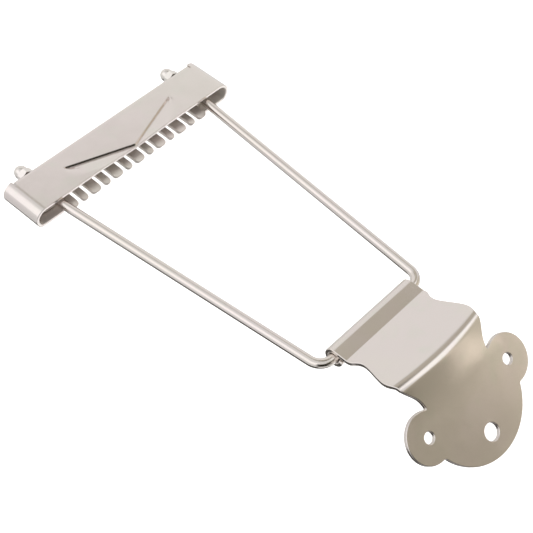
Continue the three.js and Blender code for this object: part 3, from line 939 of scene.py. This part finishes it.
nut_pieces = [turn_nut(name, x) for name, x in (("nut_left", -rod_half_bar), ("nut_right", rod_half_bar))]
print("each nut has", len(nut_pieces[0].data.vertices), "points")

# %% [markdown]
# ## Every piece takes the place of its solid
#
# Each new piece rides on the body that its solid rides on, so the joint moves both alike.

# %% Hand over from the solids
for piece, node, body, slot in (
        (bracket_piece, "tail_bracket", "bracket", "bracket_plating"),
        (wire_piece, "trapeze_wire", "trapeze", "wire_plating"),
        (cover_piece, "bar_cover", "trapeze", "cover_plating"),
        (comb_piece, "string_comb", "trapeze", "comb_plating"),
        (nut_pieces[0], "rod_nut_left", "trapeze", "nut_plating"),
        (nut_pieces[1], "rod_nut_right", "trapeze", "nut_plating")):
    low, high = (np.array(corner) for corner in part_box(node))
    corners = np.array([v.co for v in piece.data.vertices])
    print(piece.name, "differs from its solid's box by", (1000 * (corners.min(0) - low)).round(2),
          (1000 * (corners.max(0) - high)).round(2), "mm")
    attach(piece, body)
    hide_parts(node)

# %% [markdown]
# ## Nickel plate, and how it ages
#
# Every piece is bright nickel over steel. New nickel is a mirror with a warm tint. This tailpiece has
# been handled: the mirror has gone slightly milky, fine rubbing scratches run over it, the tint wanders
# between pink and olive, and the sheared edges, where the plate covers torn steel, stay duller. All of
# it is done with nodes that read the place on the piece, so it needs no image and no unwrapping.
#
# `Recipe` keeps one material and adds nodes to it, so that each finish below reads as a short list.

# %% A recipe for a finish
class Recipe:
    """One material and short ways to add nodes to it."""

    def __init__(self, name):
        self.material = bpy.data.materials.new(name)
        self.material.use_nodes = True
        self.tree = self.material.node_tree
        self.shader = self.tree.nodes["Principled BSDF"]
        self.place = self.add("ShaderNodeTexCoord").outputs["Object"]

    def add(self, kind, **sockets):
        node = self.tree.nodes.new(kind)
        for name, value in sockets.items():
            self.put(node.inputs[name.replace("_", " ")], value)
        return node

    def put(self, socket, value):
        if isinstance(value, bpy.types.NodeSocket):
            self.tree.links.new(value, socket)
        else:
            socket.default_value = value

    def sum(self, operation, a, b, c=0.0):
        node = self.add("ShaderNodeMath")
        node.operation = operation
        for socket, value in zip(node.inputs, (a, b, c)):
            self.put(socket, value)
        return node.outputs["Value"]

    def fade(self, value, low, high, to_low=0.0, to_high=1.0):
        """Carries a value from one range smoothly over to another."""
        node = self.add("ShaderNodeMapRange")
        node.interpolation_type = "SMOOTHSTEP"
        for name, number in (("Value", value), ("From Min", low), ("From Max", high),
                             ("To Min", to_low), ("To Max", to_high)):
            self.put(node.inputs[name], number)
        return node.outputs["Result"]

    def noise(self, scale, detail=4.0, rough=0.55, place=None, warp=0.0):
        node = self.add("ShaderNodeTexNoise", Vector=place or self.place, Scale=scale,
                        Detail=detail, Roughness=rough, Distortion=warp)
        return node.outputs["Fac"]

    def stretched(self, angle, along, across):
        """The place, turned about Z and squeezed, so that a noise read there becomes streaks."""
        node = self.add("ShaderNodeMapping", Vector=self.place)
        node.inputs["Rotation"].default_value = (0, 0, radians(angle))
        node.inputs["Scale"].default_value = (across, along, across)
        return node.outputs["Vector"]

    def carried(self, name):
        """A number that the piece carries on its points."""
        node = self.add("ShaderNodeAttribute")
        node.attribute_name = name
        return node.outputs["Fac"]

    def blend(self, share, first, second):
        node = self.add("ShaderNodeMix")
        node.data_type = "RGBA"
        self.put(node.inputs["Factor"], share)
        for socket, colour in zip((s for s in node.inputs if s.type == "RGBA"), (first, second)):
            self.put(socket, colour)
        return next(s for s in node.outputs if s.type == "RGBA")


trial = Recipe("trial")
print("a new recipe starts with", len(trial.tree.nodes), "nodes")
bpy.data.materials.remove(trial.material)

# %% [markdown]
# The finish itself: two slow noises wander the tint, a third clouds the mirror, and streaks in two
# directions are the rubbing scratches, which show where both meet.

# %% Tints, streaks and waves
def tint(red, green, blue):
    return (red, green, blue, 1.0)


def wandering_tint(finish, colour, pink, olive, grain):
    wander = finish.fade(finish.noise(38.0 * grain, detail=3.0), 0.42, 0.62)
    patches = finish.fade(finish.noise(120.0 * grain, detail=5.0, rough=0.6, warp=0.6), 0.5, 0.72)
    plate = finish.blend(wander, colour, pink)
    return finish.blend(finish.sum("MULTIPLY", patches, 0.55), plate, olive)


def rub_marks(finish):
    streaks = [finish.noise(1.0, detail=3.0, rough=0.7, place=finish.stretched(angle, along, across))
               for angle, along, across in ((24, 90.0, 5200.0), (-61, 120.0, 6400.0))]
    return finish.sum("MULTIPLY", finish.fade(streaks[0], 0.58, 0.74),
                      finish.fade(streaks[1], 0.3, 0.6))


def uneven_surface(finish, rubbed, scratch, grain):
    """The normal of a plate that waves a little, with the rub marks raised by `scratch`."""
    waves = finish.noise(95.0 * grain, detail=2.0, rough=0.4)
    heights = finish.sum("ADD", finish.sum("MULTIPLY", waves, 0.6),
                         finish.sum("MULTIPLY", rubbed, scratch))
    bump = finish.add("ShaderNodeBump", Height=heights, Distance=0.00006, Strength=0.35)
    return bump.outputs["Normal"]


print("a tint is four numbers, such as", tint(0.80, 0.745, 0.70))

# %% [markdown]
# Every pressed piece carries two numbers on its points: `cut_edge` is one on the sheared edge, and
# `outer_face` runs from one outside to minus one inside. Only the outside was buffed before plating, so
# the inside stays dull and milky and lets some light into the bar.

# %% Plate a piece
inside_mirror, rubbed_roughness = 0.55, 0.07
torn_roughness, torn_share, torn_shade = 0.04, 0.35, 0.72


def nickel(name, tints, gloss, scratch, pressed=True, back=0.42, grain=1.0, milk=0.0):
    """Gloss is the mirror's roughness and back that of the inside. Milk dulls the outside."""
    finish = Recipe(name)
    plate = wandering_tint(finish, *tints, grain)
    clouds = finish.noise(65.0 * grain, detail=6.0, rough=0.65)
    milky = finish.fade(clouds, 0.35, 0.7, gloss * 0.82, gloss * 1.25)
    rubbed = rub_marks(finish)
    rough = finish.sum("ADD", milky, finish.sum("MULTIPLY", rubbed, rubbed_roughness))
    if pressed:
        polished = finish.fade(finish.carried("outer_face"), -0.95, -0.1)
        rough = finish.sum("ADD", rough, finish.fade(polished, 0.0, 1.0, back - gloss, 0.0))
        sheared = finish.fade(finish.carried("cut_edge"), 0.75, 1.0)
        grooves = finish.noise(1.0, detail=2.0, rough=0.6, place=finish.stretched(8, 900.0, 2600.0))
        torn = finish.fade(grooves, 0.45, 0.65)
        rough = finish.sum("ADD", rough, finish.sum("MULTIPLY", sheared, torn_roughness))
        dull = tint(*(torn_shade * c for c in tints[0][:3]))
        plate = finish.blend(finish.sum("MULTIPLY", sheared, finish.sum("MULTIPLY", torn, torn_share)),
                             plate, dull)
        mirror = finish.fade(polished, 0.0, 1.0, inside_mirror, 1.0 - milk)
    else:
        mirror = 1.0
    for socket, value in (("Base Color", plate), ("Roughness", rough), ("Metallic", mirror),
                          ("Normal", uneven_surface(finish, rubbed, scratch, grain))):
        finish.put(finish.shader.inputs[socket], value)
    return finish.material


warm_nickel = tint(0.80, 0.745, 0.70)
finishes = {
    "bracket": nickel("nickel_on_bracket",
                      (warm_nickel, tint(0.80, 0.735, 0.71), tint(0.75, 0.735, 0.665)), 0.17, 0.25),
    "cover": nickel("nickel_on_cover",
                    (tint(0.80, 0.75, 0.71), tint(0.805, 0.735, 0.715), tint(0.77, 0.75, 0.69)),
                    0.19, 0.2, back=0.34),
    "comb": nickel("nickel_on_comb",
                   (tint(0.80, 0.75, 0.70), tint(0.81, 0.74, 0.705), tint(0.70, 0.68, 0.60)),
                   0.5, 0.35, back=0.58, milk=0.22),
    "wire": nickel("nickel_on_wire",
                   (warm_nickel, tint(0.81, 0.745, 0.72), tint(0.76, 0.74, 0.68)),
                   0.16, 0.25, pressed=False),
    "nut": nickel("nickel_on_nuts",
                  (tint(0.81, 0.77, 0.73), tint(0.81, 0.76, 0.735), tint(0.77, 0.755, 0.70)),
                  0.13, 0.2, pressed=False, grain=2.0),
}
for piece in (bracket_piece, cover_piece, comb_piece, wire_piece, *nut_pieces):
    piece.data.materials.append(finishes[piece.name.split("_")[0]])
    print(piece.name, "gets", piece.data.materials[0].name)

# %% [markdown]
# ## A white tent round a mirror
#
# A mirror shows its surroundings, so plated metal is photographed in a tent of white paper. What counts
# is where the paper is bright: a bright wall at the left, an even one in front with dim strips above it,
# a warm wall at the right with a bright window above it and bright ground below it, and little light from
# behind the tail and from straight below. The surroundings are lists of soft panels, each a range of
# compass direction and height with soft borders, laid one over the other. Directions are in degrees from
# +Y towards +X.

# %% Ways to hang a panel
class Tent(Recipe):
    """The same short ways to add nodes, for the surroundings instead of a surface."""

    def __init__(self, world):
        self.tree = world.node_tree
        self.shader = self.tree.nodes["Background"]
        direction = self.add("ShaderNodeTexCoord").outputs["Generated"]
        ray = self.add("ShaderNodeSeparateXYZ", Vector=direction)
        x, y, z = (ray.outputs[axis] for axis in "XYZ")
        degree = 180 / np.pi
        self.compass = self.sum("MULTIPLY", self.sum("ARCTAN2", x, y), degree)
        self.height = self.sum("MULTIPLY", self.sum("ARCSINE", z, 0.0), degree)
        self.paper = None

    def panel(self, colour, sides, heights, soft_sides, soft_heights, lean=0.0):
        """Lays a soft panel over the paper so far. Sides may run past 180 degrees."""
        middle, half = (sides[0] + sides[1]) / 2, (sides[1] - sides[0]) / 2
        leaning = self.sum("MULTIPLY_ADD", self.height, lean, self.compass)
        turned = self.sum("WRAP", self.sum("SUBTRACT", leaning, middle), 180.0, -180.0)
        aside = self.sum("ABSOLUTE", turned, 0.0)
        half_soft = soft_heights / 2
        share = self.fade(aside, half - soft_sides / 2, half + soft_sides / 2, 1.0, 0.0)
        above = self.fade(self.height, heights[0] - half_soft, heights[0] + half_soft)
        below = self.fade(self.height, heights[1] - half_soft, heights[1] + half_soft, 1.0, 0.0)
        share = self.sum("MULTIPLY", share, self.sum("MULTIPLY", above, below))
        self.paper = self.blend(share, self.paper, colour)


def paper(level, warmth=0.0):
    """Paper under light of a level, where 1 shows as white, from neutral to the tan of old paper."""
    return tint(level, level * (1 - 0.06 * warmth), level * (1 - 0.2 * warmth))


print("dim tan paper has the colour", np.round(paper(0.4, 1.25)[:3], 3))

# %% [markdown]
# A panel's numbers are its light, its compass range, its range of heights, and how soft its sides and its
# lower and upper borders are. The dim wall behind the tail has a leaning border, because the tail plate
# mirrors a slanting stretch of it.

# %% Hang the paper panels
world = bpy.data.worlds.new("paper tent")
bpy.context.scene.world = world
world.use_nodes = True
tent = Tent(world)
tent.paper = tent.blend(tent.fade(tent.height, -20, 10), paper(0.74), paper(0.8))
even_wall_in_front = [(paper(0.88, 0.12), (-45, 70), (-12, 48.5), 30, 5)]
bright_wall_at_left = [(paper(1.19), (-130, -26), (12, 58), 24, 16)]
dim_strips_over_the_front = [
    (paper(0.42, 0.9), (8, 46), (49.5, 57), 14, 4),
    (paper(0.525, 0.9), (46, 95), (46.5, 66), 8, 4),
    (paper(0.50, 0.9), (66, 90), (35, 60), 7, 6),
    (paper(0.2, 1.2), (46, 112), (65.5, 80), 12, 6)]
ground_at_right = [
    (paper(1.2), (95, 165), (-85, -30), 20, 16),
    (paper(0.62, 0.3), (15, 85), (-60, -22), 20, 10)]
warm_wall_and_window = [
    (tint(0.95, 0.865, 0.74), (118, 160), (-14, 46), 20, 10),
    (paper(0.62, 1.1), (98, 137), (2, 38), 8, 8),
    (paper(1.22), (102, 141), (40, 66), 12, 7)]
dark_behind_the_tail = [
    (paper(0.40, 1.25), (147.4, 200), (-12, 45), 4, 10, 0.18),
    (paper(0.385, 1.25), (155, 200), (-12, 45), 6, 10, 0.18),
    (paper(0.03, 1.5), (163, 238), (-20, 34), 12, 8)]
dark_below = [
    (paper(0.08, 0.5), (-200, 200), (-95, -64), 5, 8),
    (paper(0.08, 0.5), (-130, 10), (-95, -51), 20, 5),
    (paper(0.08, 0.5), (-130, -50), (-95, -34), 8, 8)]
for panel in (even_wall_in_front + bright_wall_at_left + dim_strips_over_the_front + ground_at_right
              + warm_wall_and_window + dark_behind_the_tail + dark_below):
    tent.panel(*panel)
tent.put(tent.shader.inputs["Color"], tent.paper)
print("the tent has", len(tent.tree.nodes), "nodes")

# %% [markdown]
# ## The floor and the lamp
#
# The photograph's ground is plain white paper, lit until no shadow is left. A pale floor that also gives
# off a little light does the same. It lies below the lowest place that the bar reaches when the wire is
# folded down. Mirrors don't show it, because the tent's lower half already stands for it.

# %% Lay the floor and light it
floor_level, floor_half = -0.17, 6
floor_mesh = bpy.data.meshes.new("floor")
floor_mesh.from_pydata([(x * floor_half, y * floor_half, floor_level)
                        for x, y in ((-1, -1), (1, -1), (1, 1), (-1, 1))], [], [(0, 1, 2, 3)])
floor = bpy.data.objects.new("floor", floor_mesh)
bpy.context.scene.collection.objects.link(floor)
floor.visible_glossy = False
pale = Recipe("pale_paper")
clouds = pale.blend(pale.noise(3.0), tint(0.93, 0.93, 0.925), tint(0.96, 0.96, 0.955))
for socket, value in (("Base Color", clouds), ("Roughness", 0.9),
                      ("Emission Color", tint(1, 1, 1)), ("Emission Strength", 0.55)):
    pale.put(pale.shader.inputs[socket], value)
floor_mesh.materials.append(pale.material)

lamp = bpy.data.objects.new("window", bpy.data.lights.new("window", "AREA"))
lamp.data.shape = "DISK"
lamp.data.size = 0.7
lamp.data.energy = 3
lamp.location = (0.1, 0.3, 1.1)
plate_middle = Vector((0, 0.07, 0))
lamp.rotation_euler = (plate_middle - lamp.location).to_track_quat("-Z", "Y").to_euler()
lamp.visible_glossy = False
bpy.context.scene.collection.objects.link(lamp)
bpy.context.scene.view_settings.view_transform = "Standard"
print("the floor lies", round(-1000 * floor_level), "mm below the tail seat")

# %% [markdown]
# ## The camera
#
# The photograph looks from the tail's left side, about 50 degrees above the rods, through a long lens.

# %% Place the camera
camera = bpy.data.objects.new("camera", bpy.data.cameras.new("camera"))
bpy.context.scene.collection.objects.link(camera)
look_back = Vector((-0.479, -0.413, 0.774)).normalized()
look_right = Vector((0.678, -0.734, 0.029))
look_up = look_back.cross(look_right).normalized()
look_right = look_up.cross(look_back).normalized()
turn = Matrix((look_right, look_up, look_back)).transposed()
camera_place = Vector((-0.2065, -0.09079, 0.32586))
camera.matrix_world = Matrix.Translation(camera_place) @ turn.to_4x4()
camera.data.lens = 81.76
camera.data.sensor_width = 36
camera.data.clip_start = 0.01
bpy.context.scene.camera = camera
print("camera at", np.round(camera.location, 4))
